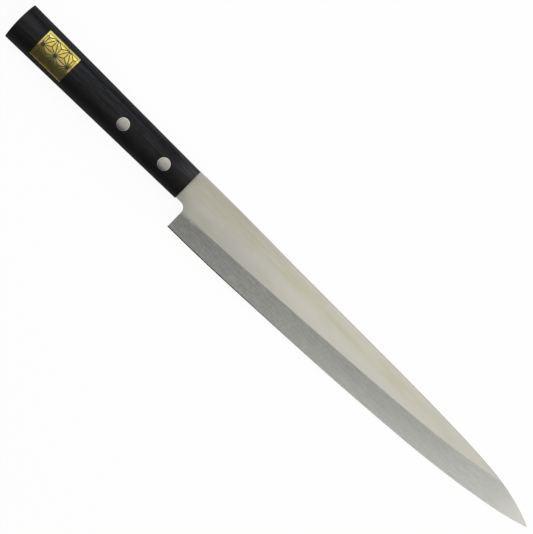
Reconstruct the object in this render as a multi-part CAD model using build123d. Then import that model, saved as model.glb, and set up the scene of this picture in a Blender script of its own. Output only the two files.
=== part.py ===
from build123d import *
import os
from math import asin, atan, degrees, sqrt

# A long single-bevelled slicing knife. One piece of steel makes the blade, the neck and a half tang.
# The tang sits in a saw cut in a one-piece wood handle, held by two rivets, each made of two halves.
# All lengths are in millimetres.

# The knife is built with the handle's front face at x = 0 and its middle line at y = 0. The tip points
# to +X, the spine to +Y and the bevelled side to +Z, and the tang's middle plane is z = 0.

# Blade
edge_span = 240.0               # straight from the heel's corner to the tip
heel_height = 31.9              # from the spine's level down to the heel's corner
heel_setback = 7.3              # from the handle's front face to the heel
heel_notch_radius = 3.7         # hollow corner between the neck and the heel
neck_step = 0.6                 # the neck's lower side stands this far inside the handle's
blade_thickness = 2.8           # at the neck, and all along the tang
tip_thickness = 1.3             # what the taper along the blade leaves at the tip
ground_edge_thickness = 0.16    # what the wide bevel leaves along the edge
final_edge_thickness = 0.04     # what the small honed bevel leaves
honed_bevel_width = 0.5
grinding_wheel_radius = 250.0   # of the wheel on which the bevels are ground slightly hollow
spine_chamfer = 0.25

# The edge and the ridge above it, at stations along the blade from the heel (0) to the tip (1). The
# heights are measured down from the spine's level as shares of the heel's height. Near the tip the
# ridge's curve runs on above the spine.
station_shares = (0.0, 0.08, 0.15, 0.30, 0.46, 0.62, 0.76, 0.86, 0.94, 1.0)
edge_fall_shares = (1.0, 0.998, 0.988, 0.949, 0.900, 0.827, 0.739, 0.6415, 0.5345, 0.412)
ridge_fall_shares = (0.653, 0.6465, 0.6275, 0.5705, 0.505, 0.4285, 0.333, 0.2205, 0.098, -0.022)
bevel_section_count = 27        # the bevels are ruled between the two curves at this many places

# The spine's own points, between the neck and the tip.
spine_station_shares = (0.085, 0.22, 0.30, 0.50, 0.70, 0.82, 0.91)
spine_fall_shares = (0.002, 0.021, 0.0315, 0.0485, 0.077, 0.119, 0.198)

# The shallow hollow in the flat side, which leaves flat rims along the spine and the edge.
hollow_depth = 0.3
hollow_rim = 2.2
hollow_station_shares = (0.04, 0.15, 0.30, 0.50, 0.70, 0.82, 0.88)
hollow_size_shares = (0.30, 0.92, 1.0, 1.0, 0.96, 0.70, 0.25)

# Tang
tang_length = 58.0
tang_rear_lift = 2.5            # the lower side rises by this toward the rear end
tang_corner_round = 5.0

# Handle
handle_length = 120.4
handle_butt_height = 22.0
handle_front_height = 18.8
handle_front_thickness = 13.0
flank_land = 9.0                # width of the flat along the middle of the lower flank
butt_crown = 0.8                # how far the butt end bulges
handle_edge_round = 0.4
kerf_run_on = 4.0               # the saw cut goes this far past the tang's end
glue_gap = 0.05                 # on each side of the tang, and behind it

# Rivets
front_rivet_setback = 16.1      # from the handle's front face to the front rivet
rear_rivet_margin = 13.0        # from the rear rivet to the tang's end
rivet_drop = 1.0                # below the handle's middle line
rivet_head_diameter = 6.8
rivet_head_depth = 1.4          # at the middle of the head
sleeve_diameter = 4.4
pin_diameter = 2.9
rivet_fit_gap = 0.05            # radial, between the rivets' parts and their bores
rivet_end_gap = 0.2             # at the ends of the pin and the sleeve

# Label
label_length = 21.4
label_height = 15.8
label_setback = 15.8            # from the butt's end to the label
label_drop = 0.5                # below the handle's middle line
foil_thickness = 0.1

# One length by which cuts and unfinished ends run past the surface that they meet.
overrun = 5.0

# Places that follow from the sizes above
spine_level = handle_front_height / 2
tip_fall = heel_height * edge_fall_shares[-1]
edge_run = sqrt(edge_span**2 - (heel_height - tip_fall) ** 2)
tip_x = heel_setback + edge_run
flat_side = -blade_thickness / 2
neck_lower_side = neck_step - handle_front_height / 2

# The knife lies on the lower flank of its handle and on the tip. The flank's slope makes both touch at
# once, and so sets how much thicker the handle is at the butt.
flank_slope = (handle_front_thickness - blade_thickness) / 2 / tip_x
handle_butt_thickness = handle_front_thickness + 2 * flank_slope * handle_length


def station_x(share):
    """The place along the knife of a share of the run from the heel to the tip."""
    return heel_setback + edge_run * share


def fall_y(share):
    """The height that lies a share of the heel's height below the spine's level."""
    return spine_level - heel_height * share


def panel_z(x):
    """The height of the flat side panel, which tapers evenly from the handle to the tip."""
    return blade_thickness / 2 - (blade_thickness - tip_thickness) * x / tip_x


def flank_z(x):
    """The distance of each flank's middle line from the tang's middle plane."""
    return handle_front_thickness / 2 - flank_slope * x


def station_points(places, falls):
    """The points of a curve of the blade, from the shares of its table."""
    return [(station_x(place), fall_y(fall)) for place, fall in zip(places, falls)]


tip = (tip_x, fall_y(edge_fall_shares[-1]))
edge_curve = Spline(*station_points(station_shares, edge_fall_shares))
ridge_curve = Spline(*station_points(station_shares, ridge_fall_shares))
spine_curve = Spline(
    (0, spine_level), *station_points(spine_station_shares, spine_fall_shares), tip
)


def curve_y(curve, x):
    """The height of a curve at a place along the knife. Past its ends the curve runs straight on."""
    for end, beyond in ((0, x <= (curve @ 0).X), (1, x >= (curve @ 1).X)):
        if beyond:
            direction = curve % end
            return (curve @ end).Y + (x - (curve @ end).X) * direction.Y / direction.X
    return (curve & Line((x, -heel_height), (x, heel_height))).Y


def face_of(plane, points):
    """A flat face with straight sides, drawn on a plane."""
    with BuildSketch(plane) as sketch:
        with BuildLine():
            Polyline(*points, close=True)
        make_face()
    return sketch.sketch


def blade_plate():
    """The blade and neck as a flat plate: the outline, the taper and the eased spine."""
    notch_foot = (heel_setback, neck_lower_side - heel_notch_radius)
    notch_top = (heel_setback - heel_notch_radius, neck_lower_side)
    with BuildSketch(Plane.XY.offset(flat_side)) as outline:
        with BuildLine():
            Line((0, neck_lower_side), (0, spine_level))
            add(spine_curve)
            add(edge_curve)
            Line(edge_curve @ 0, notch_foot)
            RadiusArc(notch_foot, notch_top, -heel_notch_radius)
            Line(notch_top, (0, neck_lower_side))
        make_face()
    plate = extrude(outline.sketch, amount=blade_thickness)
    above_panel = face_of(
        Plane.XZ,
        [
            (0, panel_z(0)),
            (tip_x + overrun, panel_z(tip_x + overrun)),
            (tip_x + overrun, panel_z(0)),
        ],
    )
    plate -= extrude(above_panel, amount=heel_height, both=True)
    spine_edges = [
        edge for edge in plate.edges() if edge.length > edge_run / 2 and edge.center().Y > 0
    ]
    return chamfer(spine_edges, spine_chamfer)


def wheel_sag(half_width):
    """How deep the grinding wheel's face reaches below a chord, from half the chord's width."""
    return grinding_wheel_radius - sqrt(grinding_wheel_radius**2 - half_width**2)


def bevel_cut(lower_line, upper_line):
    """What a bevel takes away, above the wheel's arcs between two curves along the blade."""
    sections = []
    for number in range(bevel_section_count):
        share = number / (bevel_section_count - 1)
        x = heel_setback - overrun + (edge_run + 2 * overrun) * share
        lower = Vector(*lower_line(x))
        upper = Vector(*upper_line(x))
        middle = (lower + upper) / 2
        half_width = (upper - lower).length / 2
        up_bevel = (upper - lower).normalized()
        off_bevel = Vector(-up_bevel.Y, up_bevel.X)
        sag = wheel_sag(half_width)
        reach = half_width + overrun
        rise = off_bevel * (wheel_sag(reach) - sag)
        outer = middle - up_bevel * reach + rise
        inner = middle + up_bevel * reach + rise
        deepest = middle - off_bevel * sag
        with BuildSketch(Plane.YZ.offset(x)) as section:
            with BuildLine():
                face = ThreePointArc((outer.X, outer.Y), (deepest.X, deepest.Y), (inner.X, inner.Y))
                above = 2 * blade_thickness
                Polyline(face @ 1, (inner.X, above), (outer.X, above), face @ 0)
            make_face()
        sections.append(section.sketch)
    return loft(sections)


def ground_edge(x):
    """Where the wide bevel meets the edge: height across the blade and through it."""
    return curve_y(edge_curve, x), flat_side + ground_edge_thickness


def ridge(x):
    """Where the wide bevel meets the flat panel."""
    return curve_y(ridge_curve, x), panel_z(x)


def honed_edge(x):
    """Where the honed bevel meets the edge."""
    return curve_y(edge_curve, x), flat_side + final_edge_thickness


def honed_bevel_top(x):
    """Where the honed bevel meets the wide one."""
    edge_y, edge_z = ground_edge(x)
    ridge_y, ridge_z = ridge(x)
    slope = (ridge_z - edge_z) / (ridge_y - edge_y)
    half_width = (ridge_y - edge_y) / 2
    sag = wheel_sag(half_width) - wheel_sag(half_width - honed_bevel_width)
    return edge_y + honed_bevel_width, edge_z + slope * honed_bevel_width - sag


def flat_side_hollow():
    """The shallow hollow ground into the flat side."""
    sections = []
    for place, size in zip(hollow_station_shares, hollow_size_shares):
        x = station_x(place)
        upper = curve_y(spine_curve, x) - hollow_rim
        lower = curve_y(edge_curve, x) + hollow_rim
        middle = (upper + lower) / 2
        half_width = (upper - lower) / 2 * size
        left = (middle - half_width, flat_side)
        right = (middle + half_width, flat_side)
        below = flat_side - hollow_depth
        with BuildSketch(Plane.YZ.offset(x)) as section:
            with BuildLine():
                ThreePointArc(left, (middle, flat_side + hollow_depth * size), right)
                Polyline(right, (right[0], below), (left[0], below), left)
            make_face()
        sections.append(section.sketch)
    return loft(sections)


def handle_section(x, height, thickness):
    """A section of the handle: half an oval above, and a flat land with oval shoulders below."""
    half_land = flank_land / 2
    shoulder = height / 2 - half_land
    with BuildSketch(Plane.YZ.offset(x)) as section:
        with BuildLine():
            EllipticalCenterArc((0, 0), height / 2, thickness / 2, 0, arc_size=180)
            EllipticalCenterArc((-half_land, 0), shoulder, thickness / 2, 180, arc_size=90)
            Line((-half_land, -thickness / 2), (half_land, -thickness / 2))
            EllipticalCenterArc((half_land, 0), shoulder, thickness / 2, 270, arc_size=90)
        make_face()
    return section.sketch


def handle_taper(growth=0):
    """The handle's tapered body with square ends, or the same grown all round."""
    front = handle_section(0, handle_front_height + 2 * growth, handle_front_thickness + 2 * growth)
    butt = handle_section(
        -handle_length, handle_butt_height + 2 * growth, handle_butt_thickness + 2 * growth
    )
    return loft([front, butt], ruled=True)


def handle_envelope():
    """The finished outside of the handle, with its bulging butt and eased ends."""
    crown_radius = ((handle_butt_height / 2) ** 2 + butt_crown**2) / (2 * butt_crown)
    reach = handle_butt_height / 2 + overrun
    with BuildSketch(Plane.XY) as half_profile:
        with BuildLine():
            crown = JernArc(
                (-handle_length, 0), (0, 1), crown_radius, -degrees(asin(reach / crown_radius))
            )
            Polyline(crown @ 1, (0, reach), (0, 0), (-handle_length, 0))
        make_face()
    body = handle_taper() & revolve(half_profile.sketch, Axis.X)
    end_edges = [edge for edge in body.edges() if edge.bounding_box().size.X < handle_length / 2]
    return fillet(end_edges, handle_edge_round)


def rivet_places():
    """The two rivets' places along the handle, the front one first."""
    return {"front": -front_rivet_setback, "rear": rear_rivet_margin - tang_length}


def rod(x, diameter, bottom, top):
    """A round bar through the handle at a rivet's place."""
    disc = Plane.XY.offset(bottom) * Pos(x, -rivet_drop) * Circle(diameter / 2)
    return extrude(disc, amount=top - bottom)


def head_seat_z(x):
    """Where a rivet head's underside sits in its counterbore."""
    return flank_z(x) - rivet_head_depth


def kerf():
    """The saw cut that takes the tang."""
    width = blade_thickness + 2 * glue_gap
    length = tang_length + kerf_run_on
    height = handle_butt_height + 2 * overrun
    return Pos((overrun - length) / 2, 0) * Box(length + overrun, height, width)


def tang(growth=0):
    """The half tang, flush with the handle's back, or the same grown at its free sides."""
    top = handle_butt_height / 2 + overrun
    rear = -tang_length - growth
    front_low = (0, neck_lower_side - growth)
    rear_low = (rear, neck_lower_side + tang_rear_lift - growth)
    outline = face_of(Plane.XY, [front_low, (0, top), (rear, top), rear_low])
    rear_corner = [
        corner for corner in outline.vertices() if corner.X < rear / 2 and corner.Y < spine_level
    ]
    outline = fillet(rear_corner, tang_corner_round)
    return extrude(outline, amount=blade_thickness / 2 + growth, both=True)


def blade():
    """The whole steel piece."""
    steel = blade_plate() - flat_side_hollow()
    steel -= bevel_cut(ground_edge, ridge)
    steel -= bevel_cut(honed_edge, honed_bevel_top)
    steel += tang() & handle_taper()
    for x in rivet_places().values():
        steel -= rod(x, sleeve_diameter + 2 * rivet_fit_gap, -overrun, overrun)
    return steel


def handle_block():
    """The wood block with its saw cut and stepped rivet bores."""
    block = handle_envelope() - kerf()
    reach = handle_butt_thickness
    for x in rivet_places().values():
        seat = head_seat_z(x)
        head_bore = rivet_head_diameter + 2 * rivet_fit_gap
        block -= rod(x, sleeve_diameter + 2 * rivet_fit_gap, -reach, reach)
        block -= rod(x, head_bore, seat, reach)
        block -= rod(x, head_bore, -reach, -seat)
    return block


def kerf_filler():
    """The resin that fills the saw cut below and behind the tang."""
    return (kerf() & handle_envelope()) - tang(glue_gap)


def rivet_post(x):
    """The half with the pin, its head flush with the bevelled side's flank."""
    seat = head_seat_z(x)
    head = rod(x, rivet_head_diameter, seat, seat + overrun) & handle_taper()
    return head + rod(x, pin_diameter, rivet_end_gap - seat, seat)


def rivet_sleeve(x):
    """The hollow half, its head flush with the other flank."""
    seat = head_seat_z(x)
    head = rod(x, rivet_head_diameter, -seat - overrun, -seat) & handle_taper()
    tube = rod(x, sleeve_diameter, -seat, seat - rivet_end_gap)
    return head + tube - rod(x, pin_diameter + 2 * rivet_fit_gap, -seat, seat)


def foil_label():
    """The foil label, bent over the flank of the handle."""
    middle_x = label_setback + label_length / 2 - handle_length
    footprint = Pos(middle_x, -label_drop) * Rectangle(label_length, label_height)
    column = extrude(footprint, amount=handle_butt_thickness)
    return (handle_taper(foil_thickness) - handle_taper()) & column


# The resting place: the middle of the flank's land becomes the origin, with the land and the tip on z = 0.
land_middle_x = -handle_length / 2
lay_down = Rot(0, degrees(atan(flank_slope)), 0) * Pos(-land_middle_x, 0, flank_z(land_middle_x))

pieces = {
    "blade": blade(),
    "handle_block": handle_block(),
    "kerf_filler": kerf_filler(),
    "foil_label": foil_label(),
}
for name, x in rivet_places().items():
    pieces[f"{name}_rivet_post"] = rivet_post(x)
    pieces[f"{name}_rivet_sleeve"] = rivet_sleeve(x)

os.makedirs("parts", exist_ok=True)
for name, piece in pieces.items():
    export_step(lay_down * piece, f"parts/{name}.step")
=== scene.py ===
from math import atan2, cos, pi, radians, sin, sqrt

import bpy
from mathutils import Matrix, Vector


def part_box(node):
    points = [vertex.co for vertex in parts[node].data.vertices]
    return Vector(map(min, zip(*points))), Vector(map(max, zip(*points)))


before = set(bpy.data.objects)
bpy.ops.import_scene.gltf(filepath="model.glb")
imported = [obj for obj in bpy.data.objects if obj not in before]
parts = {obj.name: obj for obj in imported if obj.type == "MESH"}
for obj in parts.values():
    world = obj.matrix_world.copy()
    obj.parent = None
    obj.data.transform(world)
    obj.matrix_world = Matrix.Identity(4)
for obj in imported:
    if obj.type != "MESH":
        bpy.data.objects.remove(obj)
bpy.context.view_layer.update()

# Blade. One piece of stainless steel with a flat panel, brushed lengthwise, and a wide bevel, ground
# slightly hollow across the blade and honed along its edge. The tang runs on inside the handle, where
# its back shows as a steel line.

millimetre = 0.001
metre_in_mm = 1000

# Sizes and places in millimetres. The knife lies on its flank, so the flat side climbs from the tip to
# the handle by the lying slope.
panel_thickness_at_neck = 2.8
panel_thickness_at_tip = 1.3
edge_thickness = 0.16
blade_low, blade_high = (corner * metre_in_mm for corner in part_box("blade"))
neck_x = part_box("handle_block")[1].x * metre_in_mm
blade_reach = blade_high.x - neck_x
lying_slope = (blade_high.z - blade_low.z - panel_thickness_at_neck) / (blade_high.x - blade_low.x)


class Signal:
    """What comes out of a socket, with the sums and other steps that a finish is written with."""

    def __init__(self, finish, socket):
        self.finish = finish
        self.socket = socket

    def step(self, operation, *values):
        return self.finish.node("ShaderNodeMath", {"operation": operation}, dict(enumerate(values)))

    def __add__(self, other):
        return self.step("ADD", self, other)

    def __sub__(self, other):
        return self.step("SUBTRACT", self, other)

    def __rsub__(self, other):
        return self.step("SUBTRACT", other, self)

    def __mul__(self, other):
        return self.step("MULTIPLY", self, other)

    def __truediv__(self, other):
        return self.step("DIVIDE", self, other)

    __radd__ = __add__
    __rmul__ = __mul__

    def lower_of(self, other):
        return self.step("MINIMUM", self, other)

    def higher_of(self, other):
        return self.step("MAXIMUM", self, other)

    def size(self):
        return self.step("ABSOLUTE", self)

    def remainder(self):
        return self.step("FRACT", self)

    def rise(self, start, end):
        """0 before start and 1 past end, with a soft step between."""
        limits = {0: self, 1: start, 2: end}
        return self.finish.node("ShaderNodeMapRange", {"interpolation_type": "SMOOTHSTEP"}, limits)

    def fall(self, start, end):
        """1 before start and 0 past end, with a soft step between."""
        return 1 - self.rise(start, end)


class Finish:
    """The nodes of a material, or of the room's own light."""

    def __init__(self, owner):
        owner.use_nodes = True
        self.owner = owner
        self.nodes = owner.node_tree.nodes
        self.links = owner.node_tree.links
        self.nodes.clear()

    def node(self, kind, settings, inputs, output=0):
        """A node, with its settings made first, then the values or links of its sockets."""
        made = self.nodes.new(kind)
        for name, value in settings.items():
            setattr(made, name, value)
        for name, value in inputs.items():
            if isinstance(value, Signal):
                self.links.new(value.socket, made.inputs[name])
            else:
                made.inputs[name].default_value = value
        if made.outputs:
            return Signal(self, made.outputs[output])

    def place(self):
        """The place on the knife, in millimetres."""
        metres = self.node("ShaderNodeTexCoord", {}, {}, "Object")
        scaling = {"operation": "SCALE"}
        return self.node("ShaderNodeVectorMath", scaling, {"Vector": metres, "Scale": metre_in_mm})

    def facing(self):
        """The direction that the surface faces."""
        return self.node("ShaderNodeTexCoord", {}, {}, "Normal")

    def split(self, vector):
        return [self.node("ShaderNodeSeparateXYZ", {}, {0: vector}, axis) for axis in "XYZ"]

    def join(self, x, y, z):
        return self.node("ShaderNodeCombineXYZ", {}, {"X": x, "Y": y, "Z": z})

    def grain(self, place, cells_per_mm, detail, roughness):
        """Uneven cloudiness from 0 to 1, with a number of cells to the millimetre each way."""
        stretching = {"operation": "MULTIPLY"}
        stretched = self.node("ShaderNodeVectorMath", stretching, {0: place, 1: cells_per_mm})
        amounts = {"Vector": stretched, "Scale": 1.0, "Detail": detail, "Roughness": roughness}
        return self.node("ShaderNodeTexNoise", {}, amounts)

    def tint(self, mask, below, above):
        """The colour below where the mask is 0, and the one above where it is 1."""
        return self.node("ShaderNodeMix", {"data_type": "RGBA"}, {0: mask, 6: below, 7: above}, 2)

    def shade(self, mask, colour):
        """The colour, darkened by the mask."""
        return self.tint(mask, colour, (0, 0, 0, 1))

    def relief(self, height, depth_mm, direction=None):
        """The bent normal that a height from 0 to 1 gives, over that depth."""
        amounts = {"Height": height, "Strength": 1.0, "Distance": depth_mm * millimetre}
        if direction:
            amounts["Normal"] = direction
        return self.node("ShaderNodeBump", {}, amounts)

    def surface(self, sockets):
        """Ends a material in its shader, from the values and links of the shader's sockets."""
        shader = self.node("ShaderNodeBsdfPrincipled", {}, sockets)
        self.node("ShaderNodeOutputMaterial", {}, {"Surface": shader})
        return self.owner


def dress(name, material):
    """Gives a part of the knife its finish."""
    part = parts[name]
    part.data.materials.clear()
    part.data.materials.append(material)


steel = Finish(bpy.data.materials.new("satin_steel"))
place = steel.place()
along, across, up = steel.split(place)
lean_x, lean_y, lean_z = steel.split(steel.facing())
faces_up = lean_z.rise(0.0, 0.3)
from_neck = along - neck_x

# How far up the bevel a point is, from its height above the flat side: 0 at the edge, 1 on the panel
ridge_step = (0.965, 0.995)
height = up + (along - blade_high.x) * lying_slope - blade_low.z
panel_taper = (panel_thickness_at_neck - panel_thickness_at_tip) / blade_reach
panel_height = panel_thickness_at_neck - from_neck * panel_taper
bevel_share = (height - edge_thickness) / (panel_height - edge_thickness)
on_bevel = bevel_share.fall(*ridge_step) * faces_up

# Polishing has rounded the ridge near the heel, over up to this share of the bevel's width
rounded_share = 0.22
rounded_stretch = (4, 34)
rounding_start = 0.98
rounding_end = 1.02
ridge_softness = from_neck.fall(*rounded_stretch) * rounded_share
rounding = bevel_share.rise(rounding_start - ridge_softness, rounding_end) * on_bevel
rounding = rounding * ridge_softness.rise(0.0, 0.02)
eased_direction = steel.join(lean_x, lean_y * (1 - rounding), lean_z)

# The honed edge leans more than the bevel does, and toward the edge's side
honed_lean = (0.038, 0.048)
edgeward_lean = (0.02, 0.08)
on_honed_edge = (1 - lean_z).rise(*honed_lean) * (0 - lean_y).rise(*edgeward_lean) * faces_up

# The panel: fine lengthwise lines and clouds, and a yellower band along its middle, which is wider and
# nearer to the spine at the neck
panel_grey = (0.562, 0.551, 0.486, 1)
panel_yellow = (0.528, 0.506, 0.402, 1)
band_y = 2.5
band_half_width = 5.0
band_end = (135, 195)
widening_at_neck = 6.0
widening_stretch = (0, 80)
shift_at_neck = 2.5
shift_stretch = (0, 110)
panel_lines = steel.grain(place, (0.02, 3.5, 3.5), 3.0, 0.6)
panel_streaks = steel.grain(place, (0.04, 0.40, 0.0), 3.0, 0.6)
panel_clouds = steel.grain(place, (0.035, 0.09, 0.0), 3.0, 0.55)
half_width = band_half_width + from_neck.fall(*widening_stretch) * widening_at_neck
band_middle = band_y + from_neck.fall(*shift_stretch) * shift_at_neck
yellow_band = (across - band_middle).size().fall(0.0, half_width) * from_neck.fall(*band_end)
yellowness = yellow_band * (0.3 + panel_streaks.rise(0.35, 0.65)) + panel_clouds.rise(0.5, 0.8) * 0.3
panel_colour = steel.tint(yellowness.lower_of(1.0), panel_grey, panel_yellow)

# How much darker the panel is, and where: by millimetres from the neck and from the middle line
near_neck = from_neck.fall(25, 95)
panel_shades = {
    "toward the neck": near_neck * 0.10,
    "along the spine there": near_neck * across.rise(3, 8) * 0.03,
    "beside the handle": from_neck.fall(-2, 24) * 0.06,
    "above the heel": across.fall(-10, -2) * from_neck.fall(50, 120) * 0.095,
    "in the notch's corner": across.fall(-7, -1) * from_neck.fall(2, 12) * 0.15,
    "toward the tip": from_neck.rise(70, 200) * 0.10,
    "where the ridge meets the spine": from_neck.rise(180, 198) * 0.03,
    "brushed lines": panel_lines.rise(0.35, 0.75) * 0.05,
    "clouds": panel_clouds.rise(0.45, 0.75) * 0.04,
}
panel_colour = steel.shade(sum(panel_shades.values()), panel_colour)

# The bevel: fine grinding streaks along it and short ticks across them, both deeper toward the heel,
# over faint long streaks
bevel_grey = (0.530, 0.535, 0.500, 1)
tip_pale = (0.556, 0.548, 0.520, 1)
pale_tip_stretch = (215, 245)
ticks = steel.grain(place, (1.8, 0.30, 0.0), 2.0, 0.6)
long_streaks = steel.grain(place, (0.012, 0.9, 0.0), 2.0, 0.5)
grinding_streaks = steel.grain(place, (0.14, 1.7, 0.0), 3.0, 0.65)
toward_heel = from_neck.fall(20, 160)
toward_ridge = bevel_share.rise(0.0, 0.8)

# How much darker the bevel is, and where: by millimetres from the neck and by its width. The shade at the
# heel and toward the ridge is painted shade, for the darker room that the steep heel and the hollow's
# slope near the ridge reflect
bevel_shades = {
    "at the heel": from_neck.fall(14, 34) * 0.05,
    "less toward the heel, where the streaks darken it": 0.007 - toward_heel * 0.05,
    "toward the ridge": toward_ridge * 0.04,
    "more so on its far half": toward_ridge * from_neck.rise(70, 130) * from_neck.fall(170, 215) * 0.07,
    "ticks": ticks.rise(0.3, 0.7) * (0.08 + toward_heel * 0.08),
    "long streaks": long_streaks.rise(0.35, 0.75) * 0.04,
    "grinding streaks": grinding_streaks.rise(0.35, 0.65) * (0.09 + toward_heel * 0.12),
}
bevel_colour = steel.shade(sum(bevel_shades.values()), bevel_grey)
bevel_colour = steel.tint(from_neck.rise(*pale_tip_stretch), bevel_colour, tip_pale)

# The honed edge: a painted shadow, dark at the heel and paler along the blade, and a painted reflection
# of the white floor at the tip, where it is palest
honed_shadow = (0.10, 0.10, 0.097, 1)
honed_pale = (0.71, 0.70, 0.675, 1)
honed_floor_reflection = (0.86, 0.85, 0.82, 1)
paling_stretch = (15, 130)
honed_tip_stretch = (200, 230)
paling = from_neck.rise(*paling_stretch)
honed_colour = steel.tint(paling, honed_shadow, honed_pale)
honed_colour = steel.tint(from_neck.rise(*honed_tip_stretch), honed_colour, honed_floor_reflection)

# Past the ridge's end the spine's eased corner has the bevel's colour too
past_ridge_end = from_neck.rise(204, 222) * faces_up
steel_colour = steel.tint(on_bevel.higher_of(past_ridge_end), panel_colour, bevel_colour)
steel_colour = steel.tint(on_honed_edge, steel_colour, honed_colour)
steel_relief = ticks * on_bevel + panel_lines * (1 - on_bevel)
steel_roughness = 0.36 + on_bevel * 0.04 + on_honed_edge * (paling * 0.35 - 0.12) + panel_clouds * 0.05
steel_material = steel.surface({
    "Base Color": steel_colour,
    "Metallic": 1.0,
    "Roughness": steel_roughness,
    "Normal": steel.relief(steel_relief, depth_mm=0.004, direction=eased_direction),
})
dress("blade", steel_material)

# Handle block. One piece of black laminated wood: thin veneers pressed together with dark resin, shaped
# to an oval, sanded and sealed. The layers stand side by side across the handle and show as faint lines
# along it. The broad flanks are polished by hand, and the narrow sides are left more matt.

wood_black = (0.0060, 0.0060, 0.0063, 1)
wood_brown = (0.0370, 0.0368, 0.0362, 1)
wood_blue_sheen = (0.0250, 0.0262, 0.0330, 1)
wood_sheen = (0.0480, 0.0500, 0.0640, 1)
wood_pale = (0.0900, 0.0900, 0.0980, 1)
layer_thickness = 0.75
layer_waviness = 1.2
layer_line_step = (0.38, 0.50)
seam_y = 7.3
seam_waviness = 0.5
seam_edges = (0.3, 0.9)
butt_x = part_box("handle_block")[0].x * metre_in_mm

wood = Finish(bpy.data.materials.new("black_laminated_wood"))
place = wood.place()
along, across, _ = wood.split(place)
lean_x, _, lean_z = wood.split(wood.facing())
from_front = neck_x - along
from_butt = along - butt_x

# The layers, and one dark seam between two of them
waviness = wood.grain(place, (0.012, 0.10, 0.10), 2.0, 0.5)
layer = across / layer_thickness + waviness * layer_waviness
layer_tone = wood.grain(wood.join(along * 0.006, 0.0, layer), (1, 1, 1), 1.0, 0.5)
layer_line = (layer.remainder() - 0.5).size().rise(*layer_line_step)
seam = (across - seam_y + waviness * seam_waviness).size().fall(*seam_edges)

# Painted shade: black along the edge's side, which faces away from the light. Brown along the middle,
# and a painted bluish sheen toward the spine, which faces the light
wood_colour = wood.tint(across.rise(1, 6), wood_brown, wood_blue_sheen)
toward_spine = across.rise(-7, 4)
layer_share = 0.35 + layer_tone.rise(0.35, 0.7) * 0.65
wood_colour = wood.tint(toward_spine * layer_share, wood_black, wood_colour)

# What marks the wood, with each mark's strength and colour, from the lowest to the topmost
fibres = wood.grain(place, (0.02, 0.9, 0.9), 4.0, 0.65)
pores = wood.grain(place, (0.16, 5.0, 5.0), 2.0, 0.5).rise(0.62, 0.75)
broad_blots = wood.grain(place, (0.05, 0.18, 0.18), 2.0, 0.5).rise(0.4, 0.6)
small_blots = wood.grain(place, (0.25, 0.7, 0.7), 3.0, 0.7).rise(0.4, 0.6)
short_streaks = wood.grain(place, (0.07, 1.5, 1.5), 3.0, 0.6).rise(0.48, 0.66)
pale_clouds = wood.grain(place, (0.06, 0.16, 0.16), 3.0, 0.55).rise(0.42, 0.68)
front_middle = across.rise(-7, -1) * across.fall(2, 6) * from_front.fall(60, 90)
front_streaks = from_front.fall(0, 16) * across.rise(1, 6) * fibres.fall(0.45, 0.65)
near_butt = from_butt.fall(6, 24)
paler_band = across.rise(0.5, 3.0) * across.fall(4.5, 6.0)
wood_marks = {
    "fibres": (fibres.rise(0.45, 0.62) * 0.6, wood_black),
    "blots": (broad_blots * 0.15 + small_blots * 0.40, wood_black),
    # Painted sheen: the short streaks, on the side toward the spine, which faces the light
    "short streaks of painted sheen": (short_streaks * across.rise(0, 8) * 0.6, wood_sheen),
    "pale clouds": (pale_clouds * (0.03 + front_middle * 0.07), wood_pale),
    "layer lines and seam": ((layer_line * 0.6).higher_of(seam * 0.8), wood_black),
    "streaks at the front": (front_streaks * 0.6, wood_pale),
    "dark layers near the butt": (near_butt * across.rise(5.0, 7.0) * 0.6, wood_black),
    "paler band near the butt": (near_butt * paler_band * 0.2, wood_sheen),
}
for mask, mark_colour in wood_marks.values():
    wood_colour = wood.tint(mask, wood_colour, mark_colour)

# The steep sides along the handle, without its two ends
on_sides = lean_z.size().fall(0.15, 0.65) * lean_x.size().fall(0.5, 0.8)
wood_material = wood.surface({
    "Base Color": wood_colour,
    "Roughness": 0.42 + fibres * 0.16 + pores * 0.1 + on_sides * 0.40,
    "Specular IOR Level": 0.07,
    "Normal": wood.relief(fibres * 0.5 - pores * 0.5 - layer_line * 0.4, depth_mm=0.012),
})
dress("handle_block", wood_material)

# Kerf filler. The saw cut that took the tang is closed below and behind it with black resin, which is
# poured in, scraped flush with the wood and left matt.

resin_black = (0.006, 0.006, 0.006, 1)
resin_grey = (0.011, 0.011, 0.012, 1)

resin = Finish(bpy.data.materials.new("black_resin"))
specks = resin.grain(resin.place(), (3.0, 3.0, 3.0), 3.0, 0.6)
resin_material = resin.surface({
    "Base Color": resin.tint(specks, resin_black, resin_grey),
    "Roughness": 0.5 + specks * 0.2,
    "Specular IOR Level": 0.1,
    "Normal": resin.relief(specks, depth_mm=0.01),
})
dress("kerf_filler", resin_material)

# Rivets. Each is a pin with a head and a hollow sleeve with another head, pressed together through the
# tang, then ground flush along the handle, which leaves fine lines on the bare metal. A bright rim round
# each head is a painted highlight, for the light that the heads' rounded edges catch.

rivet_light = (0.470, 0.455, 0.395, 1)
rivet_dark = (0.380, 0.372, 0.330, 1)
rivet_rim_highlight = (0.700, 0.690, 0.630, 1)
rim_width = 0.50
rim_softness = 0.3
rim_line = (0.05, 0.35)
rim_line_depth = 0.25
rivet_ends = ("front", "rear")

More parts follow.
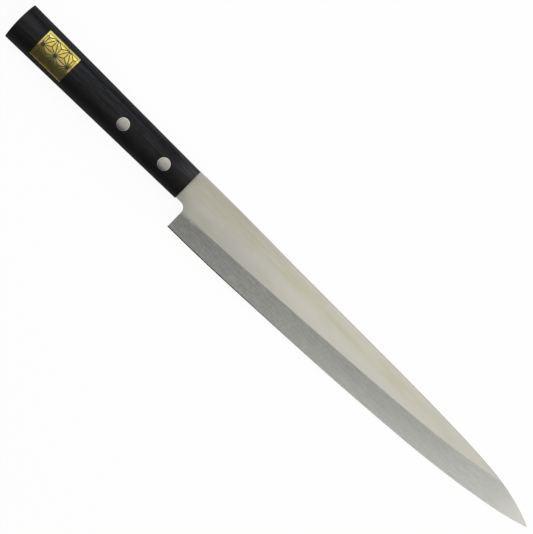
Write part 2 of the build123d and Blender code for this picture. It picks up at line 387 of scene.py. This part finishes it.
rivet = Finish(bpy.data.materials.new("ground_rivet_metal"))
place = rivet.place()
grinding = rivet.grain(place, (0.3, 6.0, 6.0), 3.0, 0.6)
rivet_clouds = rivet.grain(place, (0.3, 0.4, 0.4), 2.0, 0.5)
along, across, _ = rivet.split(place)
flat_place = rivet.join(along, across, 0.0)
from_centres = []
for end in rivet_ends:
    head_low, head_high = (corner * metre_in_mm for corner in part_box(f"{end}_rivet_post"))
    head_centre = ((head_low.x + head_high.x) / 2, (head_low.y + head_high.y) / 2, 0)
    points = {0: flat_place, 1: head_centre}
    from_centres.append(rivet.node("ShaderNodeVectorMath", {"operation": "DISTANCE"}, points, 1))
from_centre = from_centres[0].lower_of(from_centres[1])

# The heads are of one size, so the last one's box gives the place of the rim on both
rim_start = (head_high.y - head_low.y) / 2 - rim_width
brightness = grinding * 0.5 + rivet_clouds.rise(0.4, 0.6) * 0.5
rivet_colour = rivet.tint(brightness, rivet_dark, rivet_light)
# A painted highlight: the paler rim round each head
rivet_colour = rivet.tint(from_centre.rise(rim_start, rim_start + rim_softness), rivet_colour, rivet_rim_highlight)
rivet_colour = rivet.shade((from_centre - rim_start).size().fall(*rim_line) * rim_line_depth, rivet_colour)
rivet_material = rivet.surface({
    "Base Color": rivet_colour,
    "Metallic": 1.0,
    "Roughness": 0.24 + rivet_clouds * 0.08,
    "Normal": rivet.relief(grinding, depth_mm=0.006),
})
for end in rivet_ends:
    dress(f"{end}_rivet_post", rivet_material)
    dress(f"{end}_rivet_sleeve", rivet_material)

# Label. A thin brass-coloured foil, printed in black with a hemp-leaf lattice inside a plain border, and
# pressed onto the oval flank near the butt.

foil_yellow = (0.57, 0.435, 0.082, 1)
foil_pale = (0.645, 0.54, 0.165, 1)
foil_shade_olive = (0.31, 0.255, 0.068, 1)
print_black = (0.010, 0.009, 0.007, 1)
print_softness = 0.06
border_inset = 1.0
border_line = 0.25
lattice_side = 8.4
lattice_line = 0.48
label_low, label_high = (corner * metre_in_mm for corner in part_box("foil_label"))
label_middle = (label_low + label_high) / 2
half_length = (label_high.x - label_low.x) / 2
half_height = (label_high.y - label_low.y) / 2

foil = Finish(bpy.data.materials.new("printed_gold_foil"))
place = foil.place()
along, across, _ = foil.split(place)
from_middle_x = along - label_middle.x
from_middle_y = across - label_middle.y

# The lattice: equilateral triangles, with a line from each corner to the triangle's middle. A point's
# three shares of the height add up to 1 in half of the triangles and to 2 in the others, which are
# turned over.
triangle_height = lattice_side * sqrt(3) / 2
shares = []
for turn in range(3):
    direction = radians(90 + 120 * turn)
    distance = from_middle_x * cos(direction) + from_middle_y * sin(direction)
    shares.append((distance / triangle_height).remainder())
turned_over = (shares[0] + shares[1] + shares[2]).rise(1.4, 1.6)
shares = [share + turned_over * (1 - share * 2) for share in shares]
smallest = shares[0].lower_of(shares[1]).lower_of(shares[2])
largest = shares[0].higher_of(shares[1]).higher_of(shares[2])
middling = 1 - smallest - largest
from_side = smallest * triangle_height
from_spoke = (middling - smallest) * (triangle_height / sqrt(3))
from_line = from_side.lower_of(from_spoke) - lattice_line / 2

inside = (half_length - from_middle_x.size()).lower_of(half_height - from_middle_y.size())
in_border = inside.rise(border_inset, border_inset + print_softness)
lattice = from_line.fall(-print_softness, print_softness) * in_border
border = (inside - border_inset - border_line / 2).size() - border_line / 2
print_mask = lattice.higher_of(border.fall(-print_softness, print_softness))

# The foil: pale and yellow clouds, with painted olive shade in its folds and along its lower side,
# where the flank curves away from the light
lower_strip = (0.4, 2.4)
foil_clouds = foil.grain(place, (0.12, 0.12, 0.12), 3.0, 0.6)
foil_folds = foil.grain(place, (0.10, 0.22, 0.0), 3.0, 0.6)
near_lower_side = (from_middle_y + half_height).fall(*lower_strip)
foil_colour = foil.tint(foil_clouds.rise(0.3, 0.7), foil_yellow, foil_pale)
foil_colour = foil.tint(foil_folds.rise(0.48, 0.66) * 0.7, foil_colour, foil_shade_olive)
foil_colour = foil.tint(near_lower_side * 0.5, foil_colour, foil_shade_olive)
foil_material = foil.surface({
    "Base Color": foil.tint(print_mask, foil_colour, print_black),
    "Metallic": 1 - print_mask,
    "Roughness": 0.12 + print_mask * 0.30 + foil_clouds * 0.08,
    "Normal": foil.relief(foil_clouds + foil_folds + print_mask * 0.1, depth_mm=0.08),
})
dress("foil_label", foil_material)

# Camera. It looks straight down. Its place, turn and lens follow from the pixels on which the middle of
# the butt and the tip fall in the picture.

picture_width = 533
picture_height = 534
butt_pixel = Vector((18.52, 18.98))
tip_pixel = Vector((526.15, 526.70))
camera_height = 2.0
sensor_width = 36.0

tip = max((point.co for point in parts["blade"].data.vertices), key=lambda spot: spot.x)
handle_low, handle_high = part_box("handle_block")
butt = Vector((handle_low.x, 0, (handle_low.z + handle_high.z) / 2))


def spread(pixel, height):
    """A pixel's offset from the picture's middle, times the distance of what it shows."""
    right = pixel.x - (picture_width - 1) / 2
    above = (picture_height - 1) / 2 - pixel.y
    return Vector((right, above)) * (camera_height - height)


tip_spread = spread(tip_pixel, tip.z)
seen = tip_spread - spread(butt_pixel, butt.z)
real = (tip - butt).to_2d()
focal_pixels = seen.length / real.length
roll = atan2(real.y, real.x) - atan2(seen.y, seen.x)
middle_of_view = tip.to_2d() - Matrix.Rotation(roll, 2) @ tip_spread / focal_pixels

camera_data = bpy.data.cameras.new("camera")
camera_data.sensor_width = sensor_width
camera_data.lens = focal_pixels * sensor_width / picture_height
camera = bpy.data.objects.new("camera", camera_data)
camera.location = (middle_of_view.x, middle_of_view.y, camera_height)
camera.rotation_euler = (0, 0, roll)
bpy.context.scene.collection.objects.link(camera)
bpy.context.scene.camera = camera

# Floor. A plain white table top. It keeps a trace of the knife's shadow, but where the camera or a mirror
# sees it, it is lifted toward the white of the picture's background, fully so far away from the knife.

floor_reach = 30.0
floor_gap = 0.0002
floor_white = (1.0, 1.0, 1.0, 1)
lift_near_knife = 0.93
lift_stretch = (400, 1200)

floor_mesh = bpy.data.meshes.new("floor")
corner_signs = ((-1, -1), (1, -1), (1, 1), (-1, 1))
corners = [(x * floor_reach, y * floor_reach, -floor_gap) for x, y in corner_signs]
floor_mesh.from_pydata(corners, [], [(0, 1, 2, 3)])
floor = bpy.data.objects.new("floor", floor_mesh)
bpy.context.scene.collection.objects.link(floor)

table = Finish(bpy.data.materials.new("white_table"))
seen_by_camera = table.node("ShaderNodeLightPath", {}, {}, "Is Camera Ray")
seen_by_gloss = table.node("ShaderNodeLightPath", {}, {}, "Is Glossy Ray")
seen_through = table.node("ShaderNodeLightPath", {}, {}, "Is Transmission Ray")
seen_directly = seen_by_camera.higher_of(seen_by_gloss).higher_of(seen_through)
paint = table.node("ShaderNodeBsdfDiffuse", {}, {"Color": floor_white})
glow = table.node("ShaderNodeEmission", {}, {"Color": floor_white, "Strength": 1.0})
from_knife = table.node("ShaderNodeVectorMath", {"operation": "LENGTH"}, {0: table.place()}, 1)
lift = lift_near_knife + from_knife.rise(*lift_stretch) * (1 - lift_near_knife)
lifted = table.node("ShaderNodeMixShader", {}, {0: seen_directly * lift, 1: paint, 2: glow})
table.node("ShaderNodeOutputMaterial", {}, {"Surface": lifted})
floor_mesh.materials.append(table.owner)

# Light. A wide softbox hangs over the right side of the picture and a weaker, narrow one left of its
# middle. A bluish one hangs beyond the upper right corner, and two fill lamps hang beyond the tip and the
# butt. Lengths are in metres, and a radiance of 1 shows as white.

white_light = (1.0, 0.995, 0.98)
blue_light = (0.85, 0.92, 1.0)
fill_size = 1.5
fill_offset = 0.75
fill_height = 0.8


def studio(right, above, height):
    """A place in the studio, from the middle of the picture and along its sides."""
    turned = Matrix.Rotation(roll, 2) @ Vector((right, above))
    return Vector((middle_of_view.x + turned.x, middle_of_view.y + turned.y, height))


def softbox(name, middle, aim, width, length, radiance, colour):
    """A lamp panel that faces a point. Its width lies along the picture's right."""
    data = bpy.data.lights.new(name, "AREA")
    data.shape = "RECTANGLE"
    data.size = width
    data.size_y = length
    data.energy = radiance * width * length * pi
    data.color = colour
    lamp = bpy.data.objects.new(name, data)
    lamp.location = middle
    lamp.rotation_mode = "QUATERNION"
    back = (middle - aim).normalized()
    side = Matrix.Rotation(roll, 3, "Z") @ Vector((1, 0, 0))
    side = (side - back * side.dot(back)).normalized()
    turn = Matrix((side, back.cross(side), back)).transposed()
    lamp.rotation_quaternion = turn.to_quaternion()
    bpy.context.scene.collection.objects.link(lamp)


knife_middle = studio(0, 0, 0)
softbox(
    "main_softbox", studio(0.50, 0.15, 1.0), studio(0.50, 0.15, 0),
    width=0.90, length=1.70, radiance=0.98, colour=white_light,
)
softbox(
    "weak_softbox", studio(-0.12, 0, 1.01), studio(-0.12, 0, 0),
    width=0.34, length=1.40, radiance=0.52, colour=white_light,
)
softbox(
    "blue_softbox", studio(0.95, 0.95, 0.75), knife_middle,
    width=0.90, length=0.70, radiance=1.30, colour=blue_light,
)
for name, side in (("tip_fill", 1), ("butt_fill", -1)):
    softbox(
        name, studio(fill_offset * side, -fill_offset * side, fill_height), knife_middle,
        width=fill_size, length=fill_size, radiance=1.0, colour=white_light,
    )

# Room. A grey ceiling, darker on the side that the knife's edge points to, over a white band along the
# horizon, which shows behind the table in a view from the side.

ceiling_grey = (0.22, 0.22, 0.22, 1)
dark_side_grey = (0.08, 0.08, 0.08, 1)
horizon_white = (1, 1, 1, 1)
dark_side_step = (0.25, 0.65)
horizon_step = (0.04, 0.12)

world = bpy.data.worlds.new("studio")
bpy.context.scene.world = world
room = Finish(world)
_, toward_spine_side, overhead = room.split(room.node("ShaderNodeTexCoord", {}, {}, "Generated"))
room_colour = room.tint((0 - toward_spine_side).rise(*dark_side_step), ceiling_grey, dark_side_grey)
room_colour = room.tint(overhead.rise(*horizon_step), horizon_white, room_colour)
room_light = room.node("ShaderNodeBackground", {}, {"Color": room_colour, "Strength": 1.0})
room.node("ShaderNodeOutputWorld", {}, {"Surface": room_light})

bpy.context.scene.view_settings.view_transform = "Standard"
